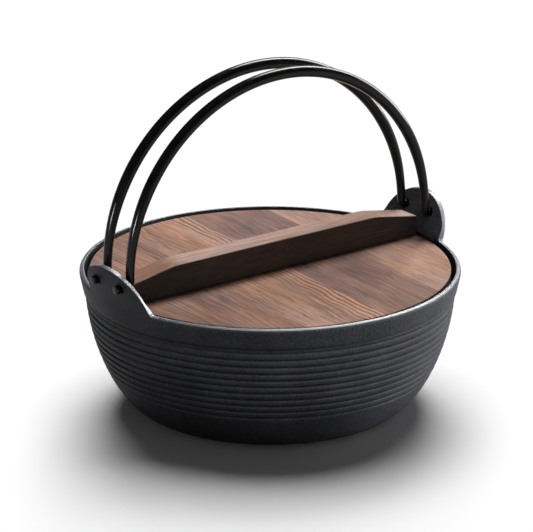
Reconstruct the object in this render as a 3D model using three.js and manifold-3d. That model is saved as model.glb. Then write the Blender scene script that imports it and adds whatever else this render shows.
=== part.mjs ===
// A cast-iron sukiyaki pot with two swing bails and a boarded wooden lid.
// Millimetres, +Z up, origin at the centre of the base, +X through one ear, -Y towards the front bail.
import * as THREE from 'three';
import { mergeVertices } from 'three/addons/utils/BufferGeometryUtils.js';
import Module from 'manifold-3d';

const wasm = await Module();
wasm.setup();

// Pot: rim, flared band and bowl
const POT_HEIGHT = 96;
const RIM_RADIUS = 130;
const RIM_WIDTH = 3.9;
const RIM_CHAMFER = 0.6;
const BAND_HEIGHT = 14.5;
const BAND_FLARE = THREE.MathUtils.degToRad(12);
const BAND_STEP = 1.3;
const BAND_UNDERCUT = 0.8;
const BASE_RADIUS = 87.5;
const BELLY_POWER = 1.63;
const WALL = 4.6;
const FLOOR = 5;

// Ribs: narrow grooves cut round the wall under the band
const FIRST_GROOVE_DROP = 3.2;
const GROOVE_PITCH = 5;
const GROOVE_COUNT = 11;
const GROOVE_WIDTH = 1.8;
const GROOVE_DEPTH = 0.6;

// Ears: two half-oval tabs that lean out more than the band, round outside and flatter inside
const EAR_HEIGHT = 27.4;
const EAR_HALF_WIDTH = 33;
const EAR_THICKNESS = 4.6;
const EAR_FLARE = THREE.MathUtils.degToRad(17.6);
const EAR_FLATTEN_HEIGHT = 10;
const EAR_FLATNESS = 0.6;
const EAR_ROOT_DEPTH = 7;
const EAR_ROOT_INSET = 0.4;

// Bails: tapered rods whose ends turn outward through the ear holes, both leaning a little to the back
const BAIL_SPACING = 25.6;
const BAIL_RISE = 122.2;
const BAIL_LEAN = THREE.MathUtils.degToRad(1);
const ROD_RADIUS = 3.95;
const ROD_END_RADIUS = 2.9;
const ROD_TAPER_HEIGHT = 72;
const ROD_BEND_RADIUS = 4.5;
const ROD_STUB = 3.5;
const PIVOT_BELOW_EAR_TOP = 12.5;
const PIVOT_CLEARANCE = 0.6;
const LEG_CLEARANCE = 1.5;

// Lid: edge-glued boards with a grip bar keyed across them
const LID_THICKNESS = 12.3;
const LID_RECESS = 1;
const LID_CLEARANCE = 0.4;
const REST_GAP = 0.3;
const BOARD_COUNT = 5;
const FIRST_BOARD_WIDTH = 19;
const GLUE_LINE = 0.25;
const GRAIN_TURN = THREE.MathUtils.degToRad(-4.3);
const BAR_TURN = THREE.MathUtils.degToRad(-0.5);
const BAR_WIDTH = 17.3;
const BAR_HEIGHT = 20.4;
const BAR_END_HEIGHT = 13.9;
const BAR_SLOPE_LENGTH = 36.5;
const BAR_END_INSET = 1;
const KEY_DEPTH = 4;
const KEY_NECK_WIDTH = 9;
const KEY_ROOT_WIDTH = 13;
const KEY_CLEARANCE = 0.25;
const KEY_ROOT_IN_BAR = 2;

// Facet counts
const ROUND_STEPS = 60;
const BELLY_STEPS = 8;
const HOLE_STEPS = 24;
const EAR_EDGE_STEPS = 80;
const EAR_GRID_STEPS = 12;
const ROD_SIDES = 12;
const ROD_ARCH_STEPS = 44;
const ROD_BEND_STEPS = 5;
const BOARD_ARC_STEPS = 6;

// Places that follow from the sizes above
const flareSlope = Math.tan(BAND_FLARE);
const earSlope = Math.tan(EAR_FLARE);
const seatZ = POT_HEIGHT - LID_RECESS - LID_THICKNESS - REST_GAP;
const lidBottomZ = seatZ + REST_GAP;
const lidTopZ = lidBottomZ + LID_THICKNESS;
const pivotZ = POT_HEIGHT + EAR_HEIGHT - PIVOT_BELOW_EAR_TOP;
const holeRadius = ROD_END_RADIUS + PIVOT_CLEARANCE;

function bandOuterRadius(z) {
  return RIM_RADIUS + flareSlope * (z - POT_HEIGHT);
}

function bandInnerRadius(z) {
  return bandOuterRadius(z) - RIM_WIDTH;
}

const lidRadius = bandInnerRadius(seatZ) - LID_CLEARANCE;
const shoulderZ = POT_HEIGHT - BAND_HEIGHT - BAND_UNDERCUT;
const shoulderRadius = bandOuterRadius(POT_HEIGHT - BAND_HEIGHT) - BAND_STEP;

// Radius of a bowl that falls from a wide top to a flat bottom along a superellipse
function bowlRadius(z, topZ, topRadius, bottomZ, bottomRadius) {
  const drop = THREE.MathUtils.clamp((topZ - z) / (topZ - bottomZ), 0, 1);
  return bottomRadius + (topRadius - bottomRadius) * Math.pow(1 - Math.pow(drop, BELLY_POWER), 1 / BELLY_POWER);
}

function outerWallRadius(z) {
  return bowlRadius(z, shoulderZ, shoulderRadius, 0, BASE_RADIUS);
}

function innerWallRadius(z) {
  return bowlRadius(z, seatZ, shoulderRadius - WALL, FLOOR, BASE_RADIUS - WALL);
}

// Heights that crowd together towards the lower end, where the bowl turns into its flat bottom
function turningHeights(topZ, bottomZ, steps) {
  const heights = [];
  for (let i = 1; i <= steps; i += 1) {
    heights.push(topZ + (bottomZ - topZ) * Math.sin((Math.PI / 2) * (i / steps)));
  }
  return heights;
}

// A position-only geometry with its shared corners merged and its empty triangles dropped
function welded(geometry) {
  const bare = new THREE.BufferGeometry();
  bare.setAttribute('position', geometry.getAttribute('position').clone());
  if (geometry.index) {
    bare.setIndex(geometry.index.clone());
  }
  const merged = mergeVertices(bare, 1e-4);
  const corners = merged.index.array;
  const kept = [];
  for (let i = 0; i < corners.length; i += 3) {
    const [a, b, c] = [corners[i], corners[i + 1], corners[i + 2]];
    if (a !== b && b !== c && c !== a) {
      kept.push(a, b, c);
    }
  }
  merged.setIndex(kept);
  return merged;
}

function solidOf(geometry) {
  const shell = welded(geometry);
  return new wasm.Manifold(new wasm.Mesh({
    numProp: 3,
    vertProperties: new Float32Array(shell.getAttribute('position').array),
    triVerts: new Uint32Array(shell.index.array),
  }));
}

function geometryOf(solid) {
  const mesh = solid.getMesh();
  const geometry = new THREE.BufferGeometry();
  geometry.setAttribute('position', new THREE.BufferAttribute(new Float32Array(mesh.vertProperties), 3));
  geometry.setIndex(new THREE.BufferAttribute(new Uint32Array(mesh.triVerts), 1));
  geometry.computeVertexNormals();
  return geometry;
}

// A cylinder along X through the point (0, y, z)
function cylinderAlongX(radius, length, y, z, steps) {
  const geometry = new THREE.CylinderGeometry(radius, radius, length, steps);
  return geometry.rotateZ(Math.PI / 2).translate(0, y, z);
}

// Outer outline of the bowl from the centre of the base up to the rim
function outerProfile() {
  const points = [];
  for (let i = 0; i < GROOVE_COUNT; i += 1) {
    const z = shoulderZ - FIRST_GROOVE_DROP - i * GROOVE_PITCH;
    points.push([outerWallRadius(z + GROOVE_WIDTH / 2), z + GROOVE_WIDTH / 2]);
    points.push([outerWallRadius(z) - GROOVE_DEPTH, z]);
    points.push([outerWallRadius(z - GROOVE_WIDTH / 2), z - GROOVE_WIDTH / 2]);
  }
  const ribbedEndZ = points.at(-1)[1];
  for (const z of turningHeights(ribbedEndZ, 0, BELLY_STEPS)) {
    points.push([outerWallRadius(z), z]);
  }
  points.push([0, 0]);
  points.reverse();
  points.push([shoulderRadius, shoulderZ]);
  points.push([bandOuterRadius(POT_HEIGHT - BAND_HEIGHT), POT_HEIGHT - BAND_HEIGHT]);
  points.push([bandOuterRadius(POT_HEIGHT - RIM_CHAMFER), POT_HEIGHT - RIM_CHAMFER]);
  points.push([RIM_RADIUS - RIM_CHAMFER, POT_HEIGHT]);
  return points;
}

// Inner outline from the rim down over the lid's ledge to the centre of the floor
function innerProfile() {
  const points = [
    [RIM_RADIUS - RIM_WIDTH + RIM_CHAMFER, POT_HEIGHT],
    [bandInnerRadius(POT_HEIGHT - RIM_CHAMFER), POT_HEIGHT - RIM_CHAMFER],
    [bandInnerRadius(seatZ), seatZ],
    [innerWallRadius(seatZ), seatZ],
  ];
  for (const z of turningHeights(seatZ, FLOOR, BELLY_STEPS)) {
    points.push([innerWallRadius(z), z]);
  }
  points.push([0, FLOOR]);
  return points;
}

// Radius of an ear's outer face, following the band below the rim
function earRadius(z) {
  return z < POT_HEIGHT ? bandOuterRadius(z) : RIM_RADIUS + earSlope * (z - POT_HEIGHT);
}

// Distance of an ear's face from the plane between the ears, at a depth in from the outer face
function earFaceX(y, z, depth, flatness) {
  const radius = earRadius(z) - depth;
  const round = Math.sqrt(radius * radius - y * y);
  const share = flatness * THREE.MathUtils.smoothstep(z - POT_HEIGHT, 0, EAR_FLATTEN_HEIGHT);
  return THREE.MathUtils.lerp(round, radius, share);
}

// A curved slab that an ear is trimmed from, rooted inside the band
function earSlab(side) {
  const rootZ = POT_HEIGHT - EAR_ROOT_DEPTH;
  const height = EAR_ROOT_DEPTH + EAR_HEIGHT + EAR_THICKNESS;
  const width = 2 * (EAR_HALF_WIDTH + EAR_THICKNESS);
  const geometry = new THREE.BoxGeometry(1, width, height, 1, EAR_GRID_STEPS, EAR_GRID_STEPS);
  geometry.translate(0, 0, rootZ + height / 2);
  const place = geometry.getAttribute('position');
  for (let i = 0; i < place.count; i += 1) {
    const [y, z] = [place.getY(i), place.getZ(i)];
    const isRoot = z < POT_HEIGHT;
    const outerDepth = isRoot ? EAR_ROOT_INSET : 0;
    const innerDepth = isRoot ? RIM_WIDTH - EAR_ROOT_INSET : EAR_THICKNESS;
    const isOuter = place.getX(i) * side > 0;
    const faceX = isOuter ? earFaceX(y, z, outerDepth, 0) : earFaceX(y, z, innerDepth, EAR_FLATNESS);
    place.setX(i, side * faceX);
  }
  return geometry;
}

function potGeometry() {
  const profile = [...outerProfile(), ...innerProfile()];
  const turned = new THREE.LatheGeometry(profile.map(([r, z]) => new THREE.Vector2(r, z)), ROUND_STEPS);
  let pot = solidOf(turned.rotateX(Math.PI / 2));
  const reach = 4 * RIM_RADIUS;
  const oval = cylinderAlongX(1, reach, 0, 0, EAR_EDGE_STEPS).scale(1, EAR_HALF_WIDTH, EAR_HEIGHT);
  const earOutline = solidOf(oval.translate(0, 0, POT_HEIGHT));
  for (const side of [-1, 1]) {
    pot = pot.add(solidOf(earSlab(side)).intersect(earOutline));
  }
  for (const side of [-1, 1]) {
    pot = pot.subtract(solidOf(cylinderAlongX(holeRadius, reach, (side * BAIL_SPACING) / 2, pivotZ, HOLE_STEPS)));
  }
  return geometryOf(pot);
}

// Centreline of a bail, measured from its pivot: stub, bend, arch, bend, stub, each with its facet count
function bailPieces() {
  const earOuterX = earRadius(pivotZ);
  const legX = earOuterX - EAR_THICKNESS - LEG_CLEARANCE - ROD_END_RADIUS;
  const tipX = earOuterX + ROD_STUB;
  const bendX = legX + ROD_BEND_RADIUS;
  const archRise = BAIL_RISE - ROD_BEND_RADIUS;
  const at = (x) => new THREE.Vector2(x, 0);
  const bend = (x, from, to) => {
    return new THREE.EllipseCurve(x, ROD_BEND_RADIUS, ROD_BEND_RADIUS, ROD_BEND_RADIUS, from, to);
  };
  return [
    [new THREE.LineCurve(at(-tipX), at(-bendX)), 1],
    [bend(-bendX, -Math.PI / 2, 0), ROD_BEND_STEPS],
    [new THREE.EllipseCurve(0, ROD_BEND_RADIUS, legX, archRise, Math.PI, 0, true), ROD_ARCH_STEPS],
    [bend(bendX, Math.PI, 1.5 * Math.PI), ROD_BEND_STEPS],
    [new THREE.LineCurve(at(bendX), at(tipX)), 1],
  ];
}

// Points and directions along the bail, closer together in the bends
function bailStations() {
  const stations = [];
  for (const [curve, steps] of bailPieces()) {
    for (let i = stations.length ? 1 : 0; i <= steps; i += 1) {
      stations.push({ point: curve.getPoint(i / steps), along: curve.getTangent(i / steps) });
    }
  }
  return stations;
}

function rodRadius(height) {
  const fullness = THREE.MathUtils.smoothstep(height, 0, ROD_TAPER_HEIGHT);
  return THREE.MathUtils.lerp(ROD_END_RADIUS, ROD_RADIUS, fullness);
}

// A straight unit rod bent onto the bail's centreline
function bailGeometry() {
  const stations = bailStations();
  const steps = stations.length - 1;
  const geometry = new THREE.CylinderGeometry(1, 1, 1, ROD_SIDES, steps);
  const place = geometry.getAttribute('position');
  for (let i = 0; i < place.count; i += 1) {
    const { point, along } = stations[Math.round((0.5 - place.getY(i)) * steps)];
    const radius = rodRadius(point.y);
    const across = place.getX(i) * radius;
    place.setXYZ(i, point.x + along.y * across, place.getZ(i) * radius, point.y - along.x * across);
  }
  return welded(geometry);
}

// Cross-section of the key under the bar, or of the groove for it when grown by a clearance
function keyShape(clearance) {
  const neck = KEY_NECK_WIDTH / 2 + clearance;
  const root = KEY_ROOT_WIDTH / 2 + clearance;
  const shape = new THREE.Shape();
  shape.moveTo(-root, -KEY_DEPTH - clearance);
  shape.lineTo(root, -KEY_DEPTH - clearance);
  shape.lineTo(neck, 0);
  shape.lineTo(neck, KEY_ROOT_IN_BAR);
  shape.lineTo(-neck, KEY_ROOT_IN_BAR);
  shape.lineTo(-neck, 0);
  shape.closePath();
  return shape;
}

// The key's cross-section drawn out along X, centred, with its neck at the top of the boards
function keySolid(clearance, length) {
  const geometry = new THREE.ExtrudeGeometry(keyShape(clearance), { depth: length, bevelEnabled: false });
  geometry.translate(0, 0, -length / 2);
  const sectionToPart = new THREE.Matrix4().makeBasis(
    new THREE.Vector3(0, 1, 0),
    new THREE.Vector3(0, 0, 1),
    new THREE.Vector3(1, 0, 0),
  );
  return solidOf(geometry.applyMatrix4(sectionToPart).rotateZ(BAR_TURN).translate(0, 0, lidTopZ));
}

// The slice of the lid's disc between two seams
function boardShape(left, right) {
  const leftAngle = Math.acos(left / lidRadius);
  const rightAngle = Math.acos(right / lidRadius);
  const shape = new THREE.Shape();
  shape.absarc(0, 0, lidRadius, rightAngle, leftAngle, false);
  shape.absarc(0, 0, lidRadius, -leftAngle, -rightAngle, false);
  shape.closePath();
  return shape;
}

// Seams across the disc: a narrow first board, and the rest shared evenly by the others
function seamPlaces() {
  const boardWidth = (2 * lidRadius - FIRST_BOARD_WIDTH) / (BOARD_COUNT - 1);
  const seams = [-lidRadius];
  for (let i = 0; i < BOARD_COUNT - 1; i += 1) {
    seams.push(FIRST_BOARD_WIDTH - lidRadius + i * boardWidth);
  }
  seams.push(lidRadius);
  return seams;
}

function boardGeometries() {
  const groove = keySolid(KEY_CLEARANCE, 3 * lidRadius);
  const seams = seamPlaces();
  return seams.slice(1).map((right, i) => {
    const isFirst = i === 0;
    const isLast = i === seams.length - 2;
    const leftEdge = isFirst ? seams[i] : seams[i] + GLUE_LINE / 2;
    const rightEdge = isLast ? right : right - GLUE_LINE / 2;
    const settings = { depth: LID_THICKNESS, bevelEnabled: false, curveSegments: BOARD_ARC_STEPS };
    const board = new THREE.ExtrudeGeometry(boardShape(leftEdge, rightEdge), settings);
    board.rotateZ(GRAIN_TURN).translate(0, 0, lidBottomZ);
    return geometryOf(solidOf(board).subtract(groove));
  });
}

// The grip bar: level along the middle, sloping down to both ends, with its key underneath
function barGeometry() {
  const halfLength = Math.sqrt(lidRadius ** 2 - (BAR_WIDTH / 2) ** 2) - BAR_END_INSET;
  const side = new THREE.Shape();
  side.moveTo(-halfLength, 0);
  side.lineTo(halfLength, 0);
  side.lineTo(halfLength, BAR_END_HEIGHT);
  side.lineTo(halfLength - BAR_SLOPE_LENGTH, BAR_HEIGHT);
  side.lineTo(BAR_SLOPE_LENGTH - halfLength, BAR_HEIGHT);
  side.lineTo(-halfLength, BAR_END_HEIGHT);
  side.closePath();
  const bar = new THREE.ExtrudeGeometry(side, { depth: BAR_WIDTH, bevelEnabled: false });
  bar.rotateX(Math.PI / 2).translate(0, BAR_WIDTH / 2, lidTopZ + REST_GAP).rotateZ(BAR_TURN);
  return geometryOf(solidOf(bar).add(keySolid(0, 2 * halfLength)));
}

function named(name, geometry, color, roughness, metalness) {
  const mesh = new THREE.Mesh(geometry, new THREE.MeshStandardMaterial({ color, roughness, metalness }));
  mesh.name = name;
  return mesh;
}

const sukiyakiPot = new THREE.Group();
sukiyakiPot.add(named('pot_body', potGeometry(), 0x2b2c2f, 0.75, 0.4));

for (const [name, side] of [['bail_front', -1], ['bail_back', 1]]) {
  const bail = named(name, bailGeometry(), 0x151516, 0.35, 0.6);
  bail.position.set(0, (side * BAIL_SPACING) / 2, pivotZ);
  bail.rotation.x = -BAIL_LEAN;
  sukiyakiPot.add(bail);
}

boardGeometries().forEach((board, i) => {
  sukiyakiPot.add(named(`lid_board_${i + 1}`, board, 0x9a7357, 0.7, 0));
});
sukiyakiPot.add(named('lid_bar', barGeometry(), 0x5a3a2b, 0.65, 0));

export default sukiyakiPot;
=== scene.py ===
"""A cast-iron sukiyaki pot with swing bails and a boarded wooden lid, dressed around its CAD frame."""

import math

import bmesh
import bpy
import numpy as np
from mathutils import Matrix, Vector


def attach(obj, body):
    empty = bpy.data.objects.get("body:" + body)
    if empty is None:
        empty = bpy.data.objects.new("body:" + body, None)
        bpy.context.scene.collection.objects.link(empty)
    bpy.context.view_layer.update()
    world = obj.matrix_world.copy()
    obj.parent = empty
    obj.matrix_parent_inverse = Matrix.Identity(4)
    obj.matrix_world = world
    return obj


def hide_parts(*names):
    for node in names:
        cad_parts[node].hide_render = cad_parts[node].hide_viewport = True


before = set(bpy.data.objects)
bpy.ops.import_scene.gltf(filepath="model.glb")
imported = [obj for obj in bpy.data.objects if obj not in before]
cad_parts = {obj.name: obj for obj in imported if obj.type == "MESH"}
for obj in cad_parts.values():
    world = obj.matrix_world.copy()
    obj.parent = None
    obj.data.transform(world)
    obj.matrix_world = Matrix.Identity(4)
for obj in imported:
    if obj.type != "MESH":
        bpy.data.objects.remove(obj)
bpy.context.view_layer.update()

MM = 0.001

# Pot, in millimetres
POT_HEIGHT = 96.0
RIM_RADIUS = 130.0
RIM_WIDTH = 3.9
RIM_OUTER_ROUND = 2.8
RIM_INNER_ROUND = 0.5
BAND_HEIGHT = 14.5
BAND_SLOPE = math.tan(math.radians(12))
BAND_STEP = 1.3
BAND_UNDERCUT = 0.8
BASE_RADIUS = 87.5
BELLY_POWER = 1.63
WALL = 4.6
FLOOR = 5.0
SEAT_Z = 82.4

FIRST_GROOVE_DROP = 3.2
GROOVE_PITCH = 5.0
GROOVE_COUNT = 11
GROOVE_DEPTH = 1.0
GROOVE_SPREAD = 0.72
GROOVE_LEAN = 0.3
TOP_GROOVE_SHARE = 0.5
LOW_GROOVE_SHARE = 0.45
GROOVE_SHARE_STEP = 0.2
# waves round the pot: size, count and step of phase from groove to groove
GROOVE_WANDER = ((0.12, 2, 1.3), (0.08, 5, 2.1))
GROOVE_UNEVENNESS = ((0.14, 3, 1.7), (0.1, 8, 0.9))
RIB_CROWN = 0.1

EAR_HEIGHT = 27.4
EAR_HALF_WIDTH = 33.0
EAR_REACH = 37.0
EAR_THICKNESS = 4.6
EAR_SLOPE = math.tan(math.radians(17.6))
EAR_FLATTEN_HEIGHT = 10.0
EAR_FLATNESS = 0.6
EAR_FILLET = 2.5
EAR_ROUND = 0.8
# heights off the rim over which the wall takes on an ear's thickness
EAR_THICKENS_FROM = -1.0
EAR_THICKENS_TO = 2.0

# Bails
BAIL_SPACING = 25.6
BAIL_RISE = 122.2
BAIL_LEAN = math.radians(1)
ROD_RADIUS = 3.95
ROD_END_RADIUS = 2.9
ROD_TAPER_HEIGHT = 72.0
ROD_BEND_RADIUS = 4.5
ROD_STUB = 3.5
ROD_TIP_LENGTH = 0.8
PIVOT_BELOW_EAR_TOP = 12.5
PIVOT_CLEARANCE = 0.6
LEG_CLEARANCE = 1.5

# Lid
LID_BOTTOM_Z = 82.7
LID_TOP_Z = 95.0
LID_CLEARANCE = 0.4
LID_EDGE_ROUND = 0.7
BOARD_COUNT = 5
FIRST_BOARD_WIDTH = 19.0
GLUE_LINE = 0.04
GRAIN_TURN = math.radians(-4.3)
REST_GAP = 0.3
BAR_TURN = math.radians(-0.5)
BAR_WIDTH = 17.3
BAR_HEIGHT = 20.4
BAR_END_HEIGHT = 13.9
BAR_SLOPE_LENGTH = 36.5
BAR_END_INSET = 1.0
BAR_KNEE = 5.0
BAR_EDGE_ROUND = 0.9

# Fineness of the meshes, with rows in millimetres, a pair being outward and up, and angles in degrees
BASE_RINGS = (14, 34, 54, 70, 79)
BELLY_STEPS = 17
GROOVE_ROWS = (-2.5, -1.6, -0.9, -0.55, -0.3, -0.1, 0.15, 0.45, 0.8, 1.2, 1.75)
SHOULDER_ROWS = ((0.0, -1.6), (-0.25, -1.0), (-0.2, -0.5))
LIP_ROWS = ((-0.75, -0.1), (-0.2, 0.0), (0.02, 0.3))
BAND_ROWS_Z = (83.5, 86.0, 89.0, 92.0)
FACE_STEPS = 9
ROUND_STEPS = 6
LEDGE_ROWS = ((0.0, 0.5), (-0.2, 0.1), (-0.6, 0.0))
INNER_WALL_STEPS = 25
FLOOR_RINGS = (64, 46, 28, 12)
EAR_STEPS = 26
FILLET_STEPS = 6
RIM_STEPS = 43
HALVINGS = 40
HOLE_SIDES = 40
DRILL_LENGTH = 4 * RIM_RADIUS
ROD_SIDES = 24
STUB_STEPS = 5
BEND_STEPS = 10
ARCH_STEPS = 140
# rings of a rod's rounded tip: place out from the last full ring, and share of the radius
TIP_RINGS = ((ROD_TIP_LENGTH, 0.55), (0.68, 0.8), (0.4, 0.95))
LID_ARC_STEP = 2.4
FEWEST_ARC_STEPS = 12
BOARD_ROUND_STEPS = 3
KNEE_STEPS = 6
BAR_ROUND_STEPS = 3
SMOOTH_BELOW = 35
POT_SMOOTH_BELOW = 40
BAR_SMOOTH_BELOW = 10
BAR_CORNER_ABOVE = 50
SAME_POINT = 1e-6

# The pot's materials in their order, and how far its edge, painted lighter than the rest as a painted
# highlight, reaches down the roundings
SKIN, EDGE_PAINTED_HIGHLIGHT, INSIDE_PAINTED_SHADE = range(3)
OUTER_STEPS_IN_SKIN = 3
INNER_STEPS_IN_EDGE = 2

# A wooden face is level, not upright, where its normal's height is above this; upright faces get a much
# darker copy of the wood, painted shade
LEVEL_NORMAL = 0.6

SHOULDER_Z = POT_HEIGHT - BAND_HEIGHT - BAND_UNDERCUT
LOWEST_GROOVE_Z = SHOULDER_Z - FIRST_GROOVE_DROP - (GROOVE_COUNT - 1) * GROOVE_PITCH
PIVOT_Z = POT_HEIGHT + EAR_HEIGHT - PIVOT_BELOW_EAR_TOP


def band_radius(z):
    return RIM_RADIUS + BAND_SLOPE * (z - POT_HEIGHT)


def ear_radius(z):
    return RIM_RADIUS + EAR_SLOPE * (z - POT_HEIGHT)


SHOULDER_RADIUS = band_radius(POT_HEIGHT - BAND_HEIGHT) - BAND_STEP
LID_RADIUS = band_radius(SEAT_Z) - RIM_WIDTH - LID_CLEARANCE


def smoothstep(x, low, high):
    t = np.clip((x - low) / (high - low), 0, 1)
    return t * t * (3 - 2 * t)


def bowl_radius(z, top_z, top_radius, low_z, low_radius):
    drop = np.clip((top_z - z) / (top_z - low_z), 0, 1)
    return low_radius + (top_radius - low_radius) * (1 - drop**BELLY_POWER) ** (1 / BELLY_POWER)


def outer_wall(z):
    return bowl_radius(z, SHOULDER_Z, SHOULDER_RADIUS, 0, BASE_RADIUS)


def inner_wall(z):
    return bowl_radius(z, SEAT_Z, SHOULDER_RADIUS - WALL, FLOOR, BASE_RADIUS - WALL)


# Meshes and objects
def linked(name, data):
    obj = bpy.data.objects.new(name, data)
    bpy.context.scene.collection.objects.link(obj)
    return obj


def mesh_from(name, points, faces):
    """A mesh from points in millimetres."""
    mesh = bpy.data.meshes.new(name)
    mesh.from_pydata([tuple(c * MM for c in p) for p in points], [], faces)
    return mesh


def mesh_from_work(name, work):
    mesh = bpy.data.meshes.new(name)
    work.to_mesh(mesh)
    work.free()
    return mesh


def finished(name, mesh, smooth_below=SMOOTH_BELOW):
    """An object with its faces turned outward, shaded smooth over edges below an angle."""
    work = bmesh.new()
    work.from_mesh(mesh)
    bmesh.ops.recalc_face_normals(work, faces=work.faces)
    if work.calc_volume(signed=True) < 0:
        bmesh.ops.reverse_faces(work, faces=work.faces)
    work.to_mesh(mesh)
    work.free()
    mesh.polygons.foreach_set("use_smooth", [True] * len(mesh.polygons))
    mesh.set_sharp_from_angle(angle=math.radians(smooth_below))
    return linked(name, mesh)


def strip_faces(rows, count):
    """Quads between rows of the same count of points, each row a closed loop."""
    faces = []
    for low in range(0, (rows - 1) * count, count):
        for j in range(count):
            k = (j + 1) % count
            faces.append((low + j, low + k, low + count + k, low + count + j))
    return faces


# Pot
def column_angle(s):
    """Angle round the pot of a place s along the rim from the middle of an ear."""
    near = np.arcsin(np.clip(s, -EAR_REACH, EAR_REACH) / RIM_RADIUS)
    return near + np.sign(s) * np.maximum(np.abs(s) - EAR_REACH, 0) / RIM_RADIUS


def oval_point(a):
    """Place and outward normal on an ear's half-oval outline, a radians from its top."""
    place = Vector((EAR_HALF_WIDTH * math.sin(a), EAR_HEIGHT * math.cos(a)))
    normal = Vector((math.sin(a) / EAR_HALF_WIDTH, math.cos(a) / EAR_HEIGHT)).normalized()
    return place, normal


def fillet_start():
    """Angle on the oval where a fillet that also touches the rim begins, found by halving."""
    low, high = math.pi / 4, math.pi / 2
    for _ in range(HALVINGS):
        middle = (low + high) / 2
        place, normal = oval_point(middle)
        centre_height = place.y + EAR_FILLET * normal.y
        low, high = (middle, high) if centre_height > EAR_FILLET else (low, middle)
    return low


def ear_outline():
    """Top edge from the middle of an ear to a quarter turn away.

    Each row holds the place along the rim, the height, the outward normal and the share of ear."""
    rows = []
    for a in np.linspace(0, fillet_start(), EAR_STEPS + 1):
        place, normal = oval_point(a)
        rows.append((place.x, POT_HEIGHT + place.y, *normal, 1.0))
    centre = place + EAR_FILLET * normal
    fillet = np.linspace(math.atan2(normal.x, normal.y), 0, FILLET_STEPS + 1)
    for i, a in enumerate(fillet[1:], 1):
        turned = Vector((math.sin(a), math.cos(a)))
        place = centre - EAR_FILLET * turned
        rows.append((place.x, POT_HEIGHT + place.y, *turned, 1 - i / FILLET_STEPS))
    quarter = EAR_REACH + RIM_RADIUS * (math.pi / 2 - math.asin(EAR_REACH / RIM_RADIUS))
    for s in np.linspace(centre.x, quarter, RIM_STEPS + 1)[1:]:
        rows.append((s, POT_HEIGHT, 0.0, 1.0, 0.0))
    return np.array(rows)


def shell_point(s, z, depth):
    """Places on the band or an ear, at a depth in from its outer face; an ear is flatter inside."""
    angle = column_angle(s)
    is_ear = z > POT_HEIGHT
    radius = np.where(is_ear, ear_radius(z), band_radius(z)) - depth
    y = np.where(is_ear, RIM_RADIUS - depth, radius) * np.sin(angle)
    flat = EAR_FLATNESS * smoothstep(z - POT_HEIGHT, 0, EAR_FLATTEN_HEIGHT) * depth / EAR_THICKNESS
    x = np.sqrt(np.maximum(radius**2 - y**2, 0)) * (1 - flat) + radius * flat
    return x, y, z


def waves(start, terms, angle, index):
    """A value that varies round the pot about its start, with other phases at each groove."""
    return sum((size * np.sin(count * angle + step * index) for size, count, step in terms), start)


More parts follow.
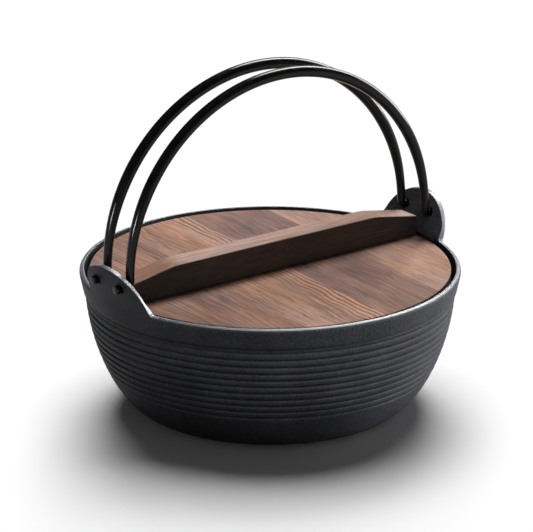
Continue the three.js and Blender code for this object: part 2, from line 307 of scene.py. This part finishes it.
class PotRows:
    """Rows of points round half of the pot, up its outside, over the edge and down its inside.

    Each column belongs to one place s along the rim."""

    def __init__(self):
        half = ear_outline()
        left = half[1:][::-1] * np.array([-1, 1, -1, 1, 1])
        self.s, self.top, self.side, self.up, self.ear = np.vstack([left, half[:-1]]).T
        self.angle = column_angle(self.s)
        self.rows = []
        self.base_and_belly()
        self.ribs()
        self.band()
        self.edge_start, self.edge_stop = self.edge()
        self.inside()

    def ring(self, radius, z):
        level = z * np.ones_like(self.s)
        self.rows.append((radius * np.cos(self.angle), radius * np.sin(self.angle), level))

    def blend(self, on_rim, on_ear):
        return on_rim + (on_ear - on_rim) * self.ear

    def base_and_belly(self):
        for radius in BASE_RINGS:
            self.ring(radius, 0.0)
        smooth_top = LOWEST_GROOVE_Z - GROOVE_PITCH / 2
        steep = math.asin(((SHOULDER_Z - smooth_top) / SHOULDER_Z) ** (BELLY_POWER / 2))
        for t in np.linspace(math.pi / 2, steep, BELLY_STEPS + 1)[:-1]:
            z = SHOULDER_Z * (1 - math.sin(t) ** (2 / BELLY_POWER))
            self.ring(outer_wall(z), z)

    def ribs(self):
        """Ribs between cast grooves that wander a little and fade towards the base."""
        for i in range(GROOVE_COUNT):
            middle = LOWEST_GROOVE_Z + i * GROOVE_PITCH
            wander = waves(0, GROOVE_WANDER, self.angle, i)
            depth = GROOVE_DEPTH * waves(1, GROOVE_UNEVENNESS, self.angle, i)
            share = min(1.0, LOW_GROOVE_SHARE + GROOVE_SHARE_STEP * i)
            if i == GROOVE_COUNT - 1:
                share = TOP_GROOVE_SHARE
            for offset in GROOVE_ROWS:
                lean = GROOVE_LEAN if offset > 0 else -GROOVE_LEAN
                spread = GROOVE_SPREAD * (1 + lean)
                cut = share * depth * math.exp(-((offset / spread) ** 2))
                crown = -RIB_CROWN * math.cos(2 * math.pi * offset / GROOVE_PITCH)
                fade = 1 - abs(offset) / (GROOVE_PITCH / 2)
                z = middle + offset + wander * fade
                self.ring(outer_wall(z) + crown - cut, z)

    def band(self):
        """The undercut step under the band, and the band up to where the ears begin."""
        low = POT_HEIGHT - BAND_HEIGHT
        for outward, height in SHOULDER_ROWS:
            self.ring(SHOULDER_RADIUS + outward, low + height)
        for outward, height in LIP_ROWS:
            self.ring(band_radius(low) + outward, low + height)
        for z in BAND_ROWS_Z:
            self.ring(band_radius(z), z)

    def face(self, share, rounding):
        """Place and height at a share of the way from the band's rows up to the rounding."""
        low = BAND_ROWS_Z[-1]
        return self.s - self.side * rounding * share, low + (self.top - self.up * rounding - low) * share

    def turn(self, a, rounding):
        """Place, height and inset on a rounding, a radians from its start at the face."""
        drop = rounding * (1 - math.sin(a))
        return self.s - self.side * drop, self.top - self.up * drop, rounding * (1 - math.cos(a))

    def edge(self):
        """The rim and the ears, with their rounded upper edge, and the rows where its part painted lighter as
        a highlight lies.
        """
        thick = self.blend(RIM_WIDTH, EAR_THICKNESS)
        outer = self.blend(RIM_OUTER_ROUND, EAR_ROUND)
        inner = self.blend(RIM_INNER_ROUND, EAR_ROUND)
        shares = np.linspace(0, 1, FACE_STEPS + 1)[1:-1]
        turns = np.linspace(0, math.pi / 2, ROUND_STEPS + 1)
        for share in shares:
            self.rows.append(shell_point(*self.face(share, outer), 0.0))
        edge_start = len(self.rows) + OUTER_STEPS_IN_SKIN
        for a in turns:
            self.rows.append(shell_point(*self.turn(a, outer)))
        self.rows.append(shell_point(self.s, self.top, (outer + thick - inner) / 2))
        edge_stop = len(self.rows) + INNER_STEPS_IN_EDGE
        for a in turns[::-1]:
            place, z, inset = self.turn(a, inner)
            self.rows.append(shell_point(place, z, thick - inset))
        for share in shares[::-1]:
            place, z = self.face(share, inner)
            share_of_ear = smoothstep(z, POT_HEIGHT + EAR_THICKENS_FROM, POT_HEIGHT + EAR_THICKENS_TO)
            self.rows.append(shell_point(place, z, RIM_WIDTH + (thick - RIM_WIDTH) * share_of_ear))
        return edge_start, edge_stop

    def inside(self):
        """The band's inner face, the lid's ledge, the inner wall and the floor."""
        for z in BAND_ROWS_Z[::-1]:
            self.ring(band_radius(z) - RIM_WIDTH, z)
        for outward, height in LEDGE_ROWS:
            self.ring(band_radius(SEAT_Z) - RIM_WIDTH + outward, SEAT_Z + height)
        for t in np.linspace(0, math.pi / 2, INNER_WALL_STEPS + 1):
            z = SEAT_Z - (SEAT_Z - FLOOR) * math.sin(t) ** (2 / BELLY_POWER)
            self.ring(inner_wall(z), z)
        for radius in FLOOR_RINGS:
            self.ring(radius, FLOOR)

    def grid(self):
        """All points by row and column, the half turned about Z for the other half."""
        half = np.stack([np.stack(row, axis=-1) for row in self.rows])
        return np.concatenate([half, half * np.array([-1, -1, 1])], axis=1)

    def look(self, row, z):
        """Which material a face between a row and the next one has."""
        if row < self.edge_start:
            return SKIN
        # the rim and ear tops take the lighter iron, a painted highlight
        if row < self.edge_stop:
            return EDGE_PAINTED_HIGHLIGHT
        # the inside below the rim's top takes the darker iron, painted shade
        return INSIDE_PAINTED_SHADE if z < POT_HEIGHT else SKIN


def drill(side):
    """A rod through both ears where the ends of one bail go."""
    work = bmesh.new()
    radius = (ROD_END_RADIUS + PIVOT_CLEARANCE) * MM
    place = Matrix.Translation((0, side * BAIL_SPACING / 2 * MM, PIVOT_Z * MM))
    bmesh.ops.create_cone(work, cap_ends=True, segments=HOLE_SIDES, radius1=radius, radius2=radius,
                          depth=DRILL_LENGTH * MM, matrix=place @ Matrix.Rotation(math.pi / 2, 4, "Y"))
    return linked("drill", mesh_from_work("drill", work))


def pot_object(*materials):
    pot_rows = PotRows()
    grid = pot_rows.grid()
    count, around = grid.shape[:2]
    points = [*grid.reshape(-1, 3), (0, 0, 0), (0, 0, FLOOR)]
    base, floor = len(points) - 2, len(points) - 1
    last = (count - 1) * around
    faces = []
    looks = []
    for j in range(around):
        k = (j + 1) % around
        faces += [(base, k, j), (floor, last + j, last + k)]
        looks += [SKIN, SKIN]
        for i in range(count - 1):
            low = i * around
            faces.append((low + j, low + k, low + around + k, low + around + j))
            looks.append(pot_rows.look(i, grid[i, j, 2]))
    mesh = mesh_from("pot", points, faces)
    for material in materials:
        mesh.materials.append(material)
    mesh.polygons.foreach_set("material_index", looks)
    blank = linked("pot_blank", mesh)
    drills = [drill(side) for side in (-1, 1)]
    for tool in drills:
        hole = blank.modifiers.new("hole", "BOOLEAN")
        hole.operation = "DIFFERENCE"
        hole.solver = "EXACT"
        hole.object = tool
    bpy.context.view_layer.update()
    graph = bpy.context.evaluated_depsgraph_get()
    drilled = bpy.data.meshes.new_from_object(blank.evaluated_get(graph))
    for spare in (blank, *drills):
        bpy.data.objects.remove(spare)
    drilled.name = "pot"
    return finished("pot", drilled, POT_SMOOTH_BELOW)


# Bails
def bail_stations():
    """Centreline of a bail measured from its pivot: x, height and direction."""
    ear_x = ear_radius(PIVOT_Z)
    leg = ear_x - EAR_THICKNESS - LEG_CLEARANCE - ROD_END_RADIUS
    bend = leg + ROD_BEND_RADIUS
    foot = []
    for x in np.linspace(ear_x + ROD_STUB - ROD_TIP_LENGTH, bend, STUB_STEPS + 1):
        foot.append((x, 0.0, -1.0, 0.0))
    for a in np.linspace(-math.pi / 2, -math.pi, BEND_STEPS + 1)[1:]:
        x = bend + ROD_BEND_RADIUS * math.cos(a)
        height = ROD_BEND_RADIUS + ROD_BEND_RADIUS * math.sin(a)
        foot.append((x, height, math.sin(a), -math.cos(a)))
    rise = BAIL_RISE - ROD_BEND_RADIUS
    arch = []
    for a in np.linspace(0, math.pi, ARCH_STEPS + 1)[1:-1]:
        along = Vector((-leg * math.sin(a), rise * math.cos(a))).normalized()
        arch.append((leg * math.cos(a), ROD_BEND_RADIUS + rise * math.sin(a), *along))
    return foot + arch + [(-x, height, dx, -dh) for x, height, dx, dh in foot[::-1]]


def bail_object(name, side):
    path = bail_stations()
    first, last = path[0], path[-1]
    stations = [((first[0] + out, *first[1:]), share) for out, share in TIP_RINGS]
    stations += [(place, 1.0) for place in path]
    stations += [((last[0] - out, *last[1:]), share) for out, share in TIP_RINGS[::-1]]
    lean = Matrix.Rotation(-BAIL_LEAN, 4, "X")
    pivot = Vector((0, side * BAIL_SPACING / 2, PIVOT_Z))
    points = []
    for (x, height, dx, dh), share in stations:
        full = smoothstep(height, 0, ROD_TAPER_HEIGHT)
        radius = share * (ROD_END_RADIUS + (ROD_RADIUS - ROD_END_RADIUS) * full)
        for k in range(ROD_SIDES):
            a = 2 * math.pi * k / ROD_SIDES
            out = radius * math.cos(a)
            points.append(lean @ Vector((x + dh * out, radius * math.sin(a), height - dx * out)) + pivot)
    faces = strip_faces(len(stations), ROD_SIDES)
    faces.append(tuple(range(ROD_SIDES)))
    faces.append(tuple(range(len(points) - ROD_SIDES, len(points))))
    return finished(name, mesh_from(name, points, faces))


# Lid
def seam_places():
    width = (2 * LID_RADIUS - FIRST_BOARD_WIDTH) / (BOARD_COUNT - 1)
    seams = [FIRST_BOARD_WIDTH - LID_RADIUS + i * width for i in range(BOARD_COUNT - 1)]
    return [-LID_RADIUS, *seams, LID_RADIUS]


def arc_ends(left, right, radius):
    """Angles at which the lines at left and right cut a circle."""
    return math.acos(max(-1, left / radius)), math.acos(min(1, right / radius))


def board_outline(left, right, radius, steps):
    """Outline of the part of a disc between two lines, as points (u, v)."""
    left_angle, right_angle = arc_ends(left, right, radius)
    arc = np.linspace(right_angle, left_angle, steps + 1)
    back = [(radius * math.cos(a), radius * math.sin(a)) for a in arc]
    return back + [(u, -v) for u, v in back[::-1] if v > SAME_POINT]


def board_object(index):
    """A board as a stack of rings, with its upper edge rounded along the arcs."""
    seams = seam_places()
    left = seams[index] + (GLUE_LINE / 2 if index else 0)
    right = seams[index + 1] - (GLUE_LINE / 2 if index < BOARD_COUNT - 1 else 0)
    left_angle, right_angle = arc_ends(left, right, LID_RADIUS)
    steps = max(FEWEST_ARC_STEPS, round((left_angle - right_angle) * LID_RADIUS / LID_ARC_STEP))
    rings = [(LID_BOTTOM_Z, 0.0)]
    for a in np.linspace(0, math.pi / 2, BOARD_ROUND_STEPS + 1):
        drop = LID_EDGE_ROUND * (1 - math.sin(a))
        rings.append((LID_TOP_Z - drop, LID_EDGE_ROUND * (1 - math.cos(a))))
    # the last ring lies on the flat top, so that its shading stays even
    rings.append((LID_TOP_Z, 2 * LID_EDGE_ROUND))
    turn = Matrix.Rotation(GRAIN_TURN, 2)
    points = []
    for z, inset in rings:
        for place in board_outline(left, right, LID_RADIUS - inset, steps):
            points.append((*(turn @ Vector(place)), z))
    count = len(points) // len(rings)
    faces = [tuple(range(count))[::-1], tuple(range(len(points) - count, len(points)))]
    faces += strip_faces(len(rings), count)
    name = f"board_{index + 1}"
    return finished(name, mesh_from(name, points, faces))


def bar_side_outline():
    """Side view of the bar: places along it and heights, with a soft knee above each slope."""
    half = math.sqrt(LID_RADIUS**2 - (BAR_WIDTH / 2) ** 2) - BAR_END_INSET
    knee_x = half - BAR_SLOPE_LENGTH
    fall = (BAR_HEIGHT - BAR_END_HEIGHT) / BAR_SLOPE_LENGTH
    start = Vector((knee_x + BAR_KNEE, BAR_HEIGHT - fall * BAR_KNEE))
    middle = Vector((knee_x, BAR_HEIGHT))
    end = Vector((knee_x - BAR_KNEE, BAR_HEIGHT))
    upper = [(half, BAR_END_HEIGHT)]
    for t in np.linspace(0, 1, KNEE_STEPS + 1):
        place = start.lerp(middle, t).lerp(middle.lerp(end, t), t)
        upper.append((place.x, place.y))
    return [(-half, 0), (half, 0), *upper, *[(-x, height) for x, height in upper[::-1]]]


def bar_object():
    outline = bar_side_outline()
    foot = LID_TOP_Z + REST_GAP
    work = bmesh.new()
    loops = []
    for y in (-BAR_WIDTH / 2, BAR_WIDTH / 2):
        loops.append([work.verts.new((x * MM, y * MM, (foot + height) * MM)) for x, height in outline])
    front, back = loops
    work.faces.new(front)
    work.faces.new(back[::-1])
    for i in range(len(outline)):
        j = (i + 1) % len(outline)
        work.faces.new((front[i], back[i], back[j], front[j]))
    work.normal_update()
    corners = [e for e in work.edges if e.calc_face_angle(0) > math.radians(BAR_CORNER_ABOVE)]
    bmesh.ops.bevel(work, geom=corners, offset=BAR_EDGE_ROUND * MM, segments=BAR_ROUND_STEPS,
                    profile=0.5, affect="EDGES", clamp_overlap=True)
    bmesh.ops.transform(work, matrix=Matrix.Rotation(BAR_TURN, 4, "Z"), verts=work.verts)
    return finished("bar", mesh_from_work("bar", work), BAR_SMOOTH_BELOW)


# Materials
class Tree:
    """A material's node tree, built from the shader's inputs backwards."""

    def __init__(self, name):
        self.material = bpy.data.materials.new(name)
        self.material.use_nodes = True
        self.nodes = self.material.node_tree.nodes
        self.links = self.material.node_tree.links
        self.nodes.clear()
        self.shader = self.node("ShaderNodeBsdfPrincipled")
        output = self.node("ShaderNodeOutputMaterial")
        self.links.new(self.shader.outputs[0], output.inputs["Surface"])

    def node(self, kind, values=None, **settings):
        made = self.nodes.new(kind)
        for key, value in settings.items():
            setattr(made, key, value)
        for key, value in (values or {}).items():
            self.put(made.inputs[key], value)
        return made

    def put(self, socket, value):
        if isinstance(value, bpy.types.NodeSocket):
            self.links.new(value, socket)
        else:
            socket.default_value = value

    def object_place(self):
        return self.node("ShaderNodeTexCoord").outputs["Object"]

    def calc(self, operation, a, b, clamp=False):
        return self.node("ShaderNodeMath", {0: a, 1: b}, operation=operation, use_clamp=clamp).outputs[0]

    def vector(self, operation, a, b):
        return self.node("ShaderNodeVectorMath", {0: a, 1: b}, operation=operation).outputs[0]

    def noise(self, vector, scale=1.0, detail=2.0, rough=0.5):
        values = {"Vector": vector, "Scale": scale, "Detail": detail, "Roughness": rough}
        return self.node("ShaderNodeTexNoise", values).outputs["Fac"]

    def remap(self, value, low, high, to_low=0.0, to_high=1.0, smooth=False):
        values = {"Value": value, "From Min": low, "From Max": high, "To Min": to_low, "To Max": to_high}
        kind = "SMOOTHSTEP" if smooth else "LINEAR"
        return self.node("ShaderNodeMapRange", values, interpolation_type=kind, clamp=True).outputs["Result"]

    def mix(self, share, a, b, blend="MIX"):
        made = self.node("ShaderNodeMix", data_type="RGBA", blend_type=blend)
        self.put(made.inputs[0], share)
        self.put(made.inputs[6], a)
        self.put(made.inputs[7], b)
        return made.outputs[2]

    def bump(self, height, distance, strength, normal=None):
        values = {"Height": height, "Distance": distance, "Strength": strength}
        if normal is not None:
            values["Normal"] = normal
        return self.node("ShaderNodeBump", values).outputs["Normal"]

    def shade(self, **values):
        for key, value in values.items():
            self.put(self.shader.inputs[key.replace("_", " ")], value)


def rgb(r, g, b):
    return (r, g, b, 1.0)


def grey(level):
    return rgb(level, level, level)


IRON_GREEN = 1.03
IRON_BLUE = 1.17
IRON_ROUGHNESS_SWING = 0.06


def iron_grey(level):
    """A grey with the faint blue of cast iron."""
    return rgb(level, level * IRON_GREEN, level * IRON_BLUE)


def cast_iron(name, low, high, gloss, roughness, relief):
    """Sand-cast iron with a fine grain, between two greys."""
    tree = Tree(name)
    place = tree.object_place()
    blotch = tree.noise(place, scale=34.0, detail=3.0, rough=0.55)
    grain = tree.noise(place, scale=800.0, detail=3.0, rough=0.6)
    sand = tree.noise(place, scale=380.0)
    tone = tree.calc("ADD", tree.calc("MULTIPLY", blotch, 0.35), tree.calc("MULTIPLY", grain, 0.65))
    colour = tree.mix(tree.remap(tone, 0.36, 0.64), iron_grey(low), iron_grey(high))
    tree.shade(Base_Color=colour, Specular_IOR_Level=gloss)
    smoothest = roughness - IRON_ROUGHNESS_SWING
    tree.shade(Roughness=tree.remap(grain, 0.3, 0.7, smoothest, roughness + IRON_ROUGHNESS_SWING))
    fine = tree.bump(grain, distance=0.4 * MM, strength=0.8 * relief)
    tree.shade(Normal=tree.bump(sand, distance=0.4 * MM, strength=0.6 * relief, normal=fine))
    return tree.material


def rod_black():
    """Satin black paint with slow changes of tone and gloss."""
    tree = Tree("rod_black")
    place = tree.object_place()
    grain = tree.noise(place, scale=1400.0)
    waves = tree.noise(place, scale=140.0)
    colour = tree.mix(tree.remap(waves, 0.3, 0.7), rgb(0.003, 0.003, 0.0032), rgb(0.007, 0.007, 0.0075))
    tree.shade(Base_Color=colour, Specular_IOR_Level=0.16)
    tree.shade(Roughness=tree.remap(waves, 0.3, 0.7, 0.12, 0.18))
    tree.shade(Normal=tree.bump(grain, distance=0.04 * MM, strength=0.3))
    return tree.material


GROWTH_LINES_PER_METRE = 250


def wood(name, light, dark, turn, seed, lines=0.9, patches=0.8, figure=None, painted_shade_along=None, sheen=0.06,
         roughness=(0.6, 0.8)):
    """Toasted wood whose grain runs along Y after the turn.

    figure is a zone (from, to) across the grain with bold wavy lines, and toast a zone (from, to)
    along it over which the wood is painted darker as painted shade, both in millimetres."""
    tree = Tree(name)
    turned = {"Vector": tree.object_place(), "Rotation": (0, 0, -turn)}
    board = tree.node("ShaderNodeMapping", turned).outputs[0]
    place = tree.vector("ADD", board, seed)
    across, along = tree.node("ShaderNodeSeparateXYZ", {0: board}).outputs[:2]

    def level(value, amount):
        return tree.calc("MULTIPLY", tree.calc("SUBTRACT", value, 0.5), amount)

    def grain(vector, per_metre_across, per_metre_along, detail, rough):
        stretch = (per_metre_across, per_metre_along, per_metre_across)
        return tree.noise(tree.vector("MULTIPLY", vector, stretch), detail=detail, rough=rough)

    # slow wander of the grain, as a sideways shift of a few millimetres
    sway = level(grain(place, 18, 7, 2.0, 0.5), 12 * MM)
    ripple = level(grain(place, 60, 40, 2.0, 0.5), 7 * MM)
    shift = tree.node("ShaderNodeCombineXYZ", {0: tree.calc("ADD", sway, ripple)}).outputs[0]
    swayed = tree.vector("ADD", place, shift)

    # broad toasted patches, growth lines and fine fibres, each stretched along the grain
    patch = grain(swayed, 36, 12, 4.0, 0.6)
    streak = grain(swayed, 230, 9, 3.0, 0.65)
    thread = grain(swayed, 560, 22, 2.0, 0.6)
    fibre = grain(swayed, 1100, 50, 2.0, 0.6)
    pores = grain(swayed, 1500, 70, 1.0, 0.5)
    sideways = tree.node("ShaderNodeSeparateXYZ", {0: swayed}).outputs[0]
    ring = tree.calc("SINE", tree.calc("MULTIPLY", sideways, 2 * math.pi * GROWTH_LINES_PER_METRE), 0.0)
    late = tree.calc("POWER", tree.remap(ring, -1, 1), 2.0)

    tone = tree.calc("ADD", level(patch, 2.2 * patches), level(streak, 1.4 * lines))
    tone = tree.calc("ADD", tone, tree.calc("ADD", level(thread, 1.8 * lines), level(fibre, 1.3)))
    if figure:
        zone = tree.remap(across, figure[0] * MM, figure[1] * MM, smooth=True)
        figured = tree.calc("MULTIPLY", level(late, 1.9), zone)
        strength = tree.remap(patch, 0.3, 0.7, 0.6, 1.0)
        tone = tree.calc("SUBTRACT", tone, tree.calc("MULTIPLY", figured, strength))
    # painted shade: the wood darker towards one end along the grain, used on the bar top's left end and slope
    if painted_shade_along:
        darker = tree.remap(along, painted_shade_along[0] * MM, painted_shade_along[1] * MM, 0.0, 0.6, smooth=True)
        tone = tree.calc("SUBTRACT", tone, darker)
    base = tree.mix(tree.calc("ADD", tone, 0.55, clamp=True), dark, light)
    pored = tree.mix(tree.remap(pores, 0.6, 0.72, 0.0, 0.5), base, dark)

    # a change of hue from warm to cool in broad patches
    hue = tree.remap(grain(place, 52, 20, 3.0, 0.5), 0.35, 0.65)
    tint = tree.mix(hue, rgb(1.08, 1.0, 0.9), rgb(0.9, 0.95, 1.05))
    tree.shade(Base_Color=tree.mix(1.0, pored, tint, "MULTIPLY"), Specular_IOR_Level=sheen)
    tree.shade(Roughness=tree.remap(fibre, 0.3, 0.7, roughness[1], roughness[0]))
    relief = tree.calc("ADD", tree.calc("MULTIPLY", fibre, 0.6), tree.calc("MULTIPLY", late, -0.3))
    tree.shade(Normal=tree.bump(relief, distance=0.3 * MM, strength=0.5))
    return tree.material


ACROSS = GRAIN_TURN
ALONG_BAR = BAR_TURN - math.pi / 2

BOARD_LOOKS = (
    dict(light=rgb(0.34, 0.2, 0.15), dark=rgb(0.143, 0.085, 0.063), seed=(0.31, 0.7, 0.1)),
    dict(light=rgb(0.43, 0.25, 0.19), dark=rgb(0.182, 0.106, 0.083), seed=(1.37, 0.2, 0.4)),
    dict(light=rgb(0.55, 0.322, 0.229), dark=rgb(0.21, 0.122, 0.088), seed=(2.11, 1.3, 0.2), figure=(-14, 2)),
    dict(light=rgb(0.385, 0.233, 0.189), dark=rgb(0.163, 0.098, 0.081), seed=(3.73, 0.9, 0.6), lines=0.6),
    dict(light=rgb(0.6, 0.37, 0.277), dark=rgb(0.27, 0.167, 0.129), seed=(4.19, 2.2, 0.3), lines=0.6),
)
BAR_TOP_LOOK = dict(light=rgb(0.63, 0.43, 0.365), dark=rgb(0.3, 0.155, 0.1), seed=(5.9, 0.4, 0.8),
                    lines=0.5, patches=0.3, painted_shade_along=(-70, -92), sheen=0.15, roughness=(0.5, 0.65))
# darker wood for the upright faces of the boards and the bar, painted shade; the level tops get the lighter
# wood
PAINTED_SHADE_SIDES = dict(light=rgb(0.124, 0.104, 0.096), dark=rgb(0.062, 0.05, 0.046))


# Pieces, with collections that the lamps are linked to
pieces = bpy.data.collections.new("pieces")
iron = bpy.data.collections.new("iron")
rods = bpy.data.collections.new("rods")
ground = bpy.data.collections.new("ground")


def dress(obj, body, nodes, slot, *materials):
    pieces.objects.link(obj)
    for material in materials:
        obj.data.materials.append(material)
    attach(obj, body)
    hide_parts(*nodes)


skin = cast_iron("cast_iron", low=0.015, high=0.047, gloss=0.1, roughness=0.6, relief=1.0)
# the rim and ear tops: an iron lighter than the skin, a painted highlight
edge = cast_iron("cast_iron_edge_painted_highlight", low=0.042, high=0.1, gloss=1.0, roughness=0.44, relief=0.25)
# the inside: an iron darker than the skin, painted shade in the recess under the rim
inside = cast_iron("cast_iron_inside_painted_shade", low=0.004, high=0.014, gloss=0.05, roughness=0.6, relief=1.0)
pot = pot_object(skin, edge, inside)
dress(pot, "pot", ["pot_body"], "cast_body")
iron.objects.link(pot)

black = rod_black()
for side, place in ((-1, "front"), (1, "back")):
    rod = bail_object(f"rod_{place}", side)
    dress(rod, f"{place}_bail", [f"bail_{place}"], "bail_rod", black)
    rods.objects.link(rod)

# the boards' upright edges get the darker wood, painted shade
shaded_board_edge = wood("board_wood_edge_painted_shade", turn=ACROSS, seed=(7.7, 0.3, 0.9), **PAINTED_SHADE_SIDES)
for index, look in enumerate(BOARD_LOOKS):
    board_top = wood(f"board_wood_{index + 1}", turn=ACROSS, **look)
    board = board_object(index)
    dress(board, "lid", [f"lid_board_{index + 1}"], "lid_wood", board_top, shaded_board_edge)
    upright = [int(abs(p.normal.z) < LEVEL_NORMAL) for p in board.data.polygons]
    board.data.polygons.foreach_set("material_index", upright)

bar_top = wood("bar_wood_top", turn=ALONG_BAR, **BAR_TOP_LOOK)
# the bar's upright sides and ends get the darker wood, painted shade
shaded_bar_side = wood("bar_wood_side_painted_shade", turn=ALONG_BAR, seed=(6.1, 1.4, 0.5), lines=0.5, patches=0.5, **PAINTED_SHADE_SIDES)
bar = bar_object()
dress(bar, "lid", ["lid_bar"], "bar_wood", bar_top, shaded_bar_side)
bar_faces_in_painted_shade = [0 if p.normal.z > LEVEL_NORMAL else 1 for p in bar.data.polygons]
bar.data.polygons.foreach_set("material_index", bar_faces_in_painted_shade)


# Studio, in metres and degrees
FLOOR_REACH = 12.0
FLOOR_DROP = 0.0002
FLOOR_WHITE = 0.99
FLOOR_BOUNCE = 0.12
HORIZON = 0.6
HORIZON_TOP = 0.06
CEILING = 0.03
CEILING_START = 0.3

CAMERA_AZIMUTH = -37.63
CAMERA_ELEVATION = 19.11
CAMERA_DISTANCE = 2.5
CAMERA_ASIDE = -0.002503
CAMERA_ABOVE = -0.000822
FOCAL_PIXELS = 3682.06
IMAGE_WIDTH = 533
SENSOR_WIDTH = 36
CLIP_START = 0.05
CLIP_END = 100


def direction(azimuth, elevation):
    """Unit vector from the pot towards an azimuth, which runs from the front to the right."""
    a = math.radians(azimuth)
    e = math.radians(elevation)
    return Vector((math.sin(a) * math.cos(e), -math.cos(a) * math.cos(e), math.sin(e)))


def photo_camera():
    data = bpy.data.cameras.new("camera")
    camera = linked("camera", data)
    back = direction(CAMERA_AZIMUTH, CAMERA_ELEVATION)
    right = direction(CAMERA_AZIMUTH + 90, 0)
    target = Vector((0, 0, POT_HEIGHT * MM)) + right * CAMERA_ASIDE + back.cross(right) * CAMERA_ABOVE
    camera.location = target + back * CAMERA_DISTANCE
    camera.rotation_mode = "QUATERNION"
    camera.rotation_quaternion = (-back).to_track_quat("-Z", "Y")
    data.sensor_width = SENSOR_WIDTH
    data.lens = FOCAL_PIXELS / IMAGE_WIDTH * SENSOR_WIDTH
    data.clip_start = CLIP_START
    data.clip_end = CLIP_END
    bpy.context.scene.camera = camera


def white_floor():
    """A floor that is white to the eye and in reflections, but throws little light back."""
    mesh = bpy.data.meshes.new("floor")
    corners = [(x * FLOOR_REACH, y * FLOOR_REACH, 0) for x, y in ((-1, -1), (1, -1), (1, 1), (-1, 1))]
    mesh.from_pydata(corners, [], [(0, 1, 2, 3)])
    floor = linked("floor", mesh)
    floor.location.z = -FLOOR_DROP
    ground.objects.link(floor)
    tree = Tree("floor_white")
    path = tree.node("ShaderNodeLightPath").outputs
    seen = tree.calc("MAXIMUM", path["Is Camera Ray"], path["Is Glossy Ray"])
    seen = tree.calc("MAXIMUM", seen, path["Is Transmission Ray"])
    colour = tree.mix(seen, grey(FLOOR_BOUNCE), grey(FLOOR_WHITE))
    tree.shade(Base_Color=colour, Roughness=0.9, Specular_IOR_Level=0.0)
    mesh.materials.append(tree.material)


def pale_horizon():
    """A pale backdrop all round the horizon under a dim ceiling."""
    world = bpy.data.worlds.new("studio")
    bpy.context.scene.world = world
    world.use_nodes = True
    nodes = world.node_tree.nodes
    links = world.node_tree.links
    nodes.clear()
    towards = nodes.new("ShaderNodeTexCoord")
    split = nodes.new("ShaderNodeSeparateXYZ")
    fall = nodes.new("ShaderNodeMapRange")
    background = nodes.new("ShaderNodeBackground")
    output = nodes.new("ShaderNodeOutputWorld")
    fall.interpolation_type = "SMOOTHSTEP"
    fall.inputs["From Min"].default_value = HORIZON_TOP
    fall.inputs["From Max"].default_value = CEILING_START
    fall.inputs["To Min"].default_value = HORIZON
    fall.inputs["To Max"].default_value = CEILING
    background.inputs["Color"].default_value = grey(1.0)
    links.new(towards.outputs["Generated"], split.inputs[0])
    links.new(split.outputs["Z"], fall.inputs["Value"])
    links.new(fall.outputs["Result"], background.inputs["Strength"])
    links.new(background.outputs[0], output.inputs[0])


def soft_sun(name, azimuth, elevation, level, spread, lit):
    """A broad light on one collection, from a direction off the camera's.

    Its level is what it gives a white surface that faces it."""
    light = bpy.data.lights.new(name, "SUN")
    light.energy = level * math.pi
    light.angle = math.radians(spread)
    lamp = linked(name, light)
    lamp.rotation_mode = "QUATERNION"
    lamp.rotation_quaternion = direction(CAMERA_AZIMUTH + azimuth, elevation).to_track_quat("Z", "Y")
    lamp.light_linking.receiver_collection = lit


bpy.context.scene.view_settings.view_transform = "Standard"
photo_camera()
white_floor()
pale_horizon()
soft_sun("key", azimuth=154, elevation=47, level=1.3, spread=28, lit=pieces)
soft_sun("side", azimuth=104, elevation=3, level=3.1, spread=50, lit=iron)
soft_sun("fill", azimuth=24, elevation=60, level=1.0, spread=60, lit=iron)
soft_sun("glint", azimuth=-37, elevation=10, level=0.6, spread=10, lit=rods)
soft_sun("gleam_high", azimuth=141, elevation=27, level=0.8, spread=26, lit=rods)
soft_sun("gleam_low", azimuth=125, elevation=6, level=0.8, spread=26, lit=rods)
# the floor has lamps of its own, from behind, for the long soft shadow in front
soft_sun("floor_high", azimuth=178, elevation=63, level=0.78, spread=44, lit=ground)
soft_sun("floor_low", azimuth=178, elevation=40, level=0.45, spread=30, lit=ground)
